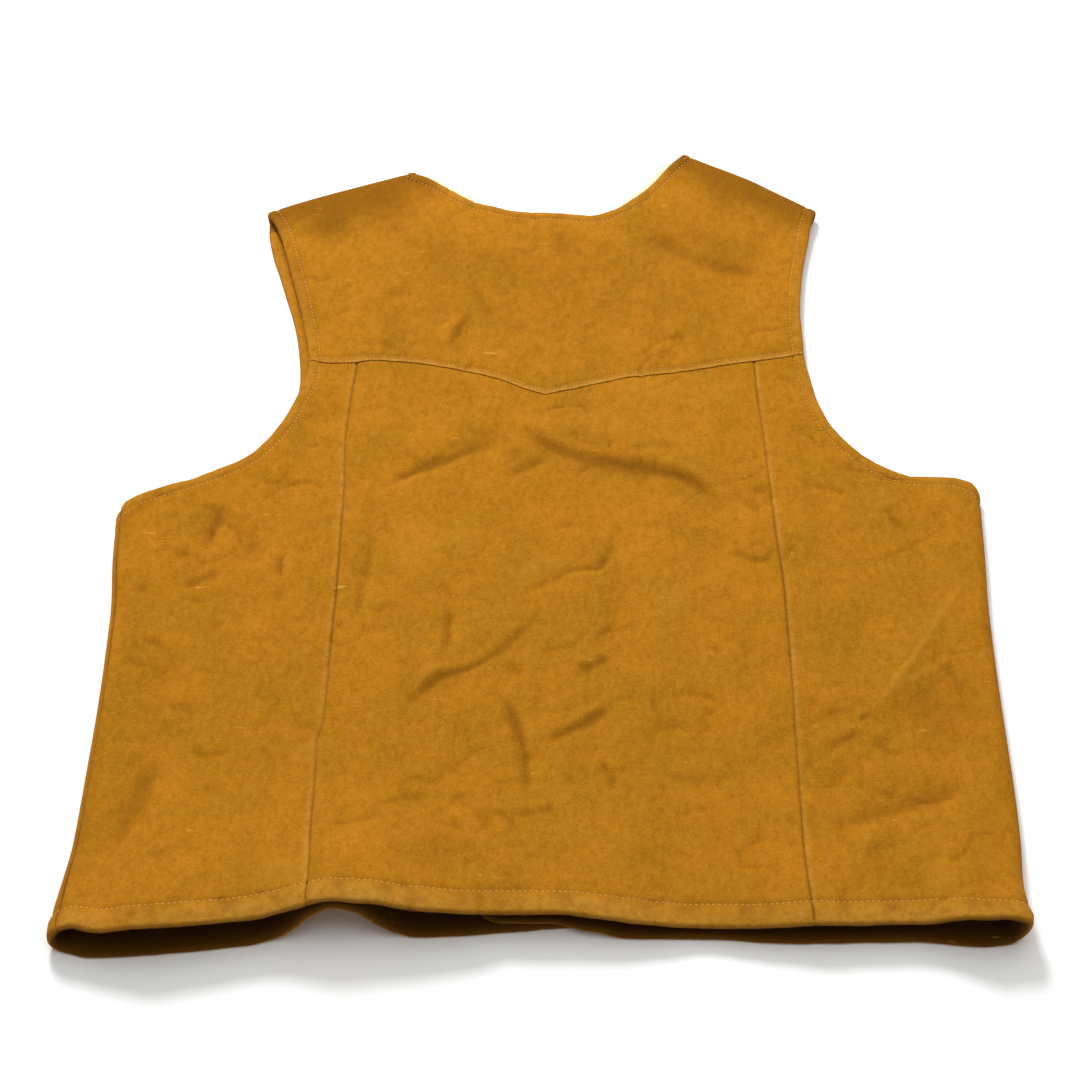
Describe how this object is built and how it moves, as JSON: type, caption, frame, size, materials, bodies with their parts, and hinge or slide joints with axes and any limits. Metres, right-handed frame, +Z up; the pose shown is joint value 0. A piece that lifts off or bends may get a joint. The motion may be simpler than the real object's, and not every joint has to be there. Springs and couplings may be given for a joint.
{
  "type": "suede western vest laid flat",
  "caption": "Suede western vest lying flat with its back up: pointed back yoke, long shaped back seams, turned-up hem standing open, rolled sides and shoulders.",
  "frame": {"origin": "centre of the vest's footprint, on the surface that it lies on", "axes": "+Z up from the surface, +Y from the hem to the neck, +X from the wearer's left to the wearer's right"},
  "size_m": [0.5903, 0.6897, 0.0389],
  "materials": {
    "suede": "golden tan split suede with a short soft nap, mottled, paler where the edges have worn",
    "cotton": "matt cream cotton tape and pale tan sewing thread"
  },
  "bodies": {
    "root": {"back_yoke": "suede", "back_centre": "suede", "back_side_left": "suede", "back_side_right": "suede", "front_left": "suede", "front_right": "suede", "neck_tape_left": "cotton", "neck_tape_right": "cotton"}
  },
  "joints": []
}
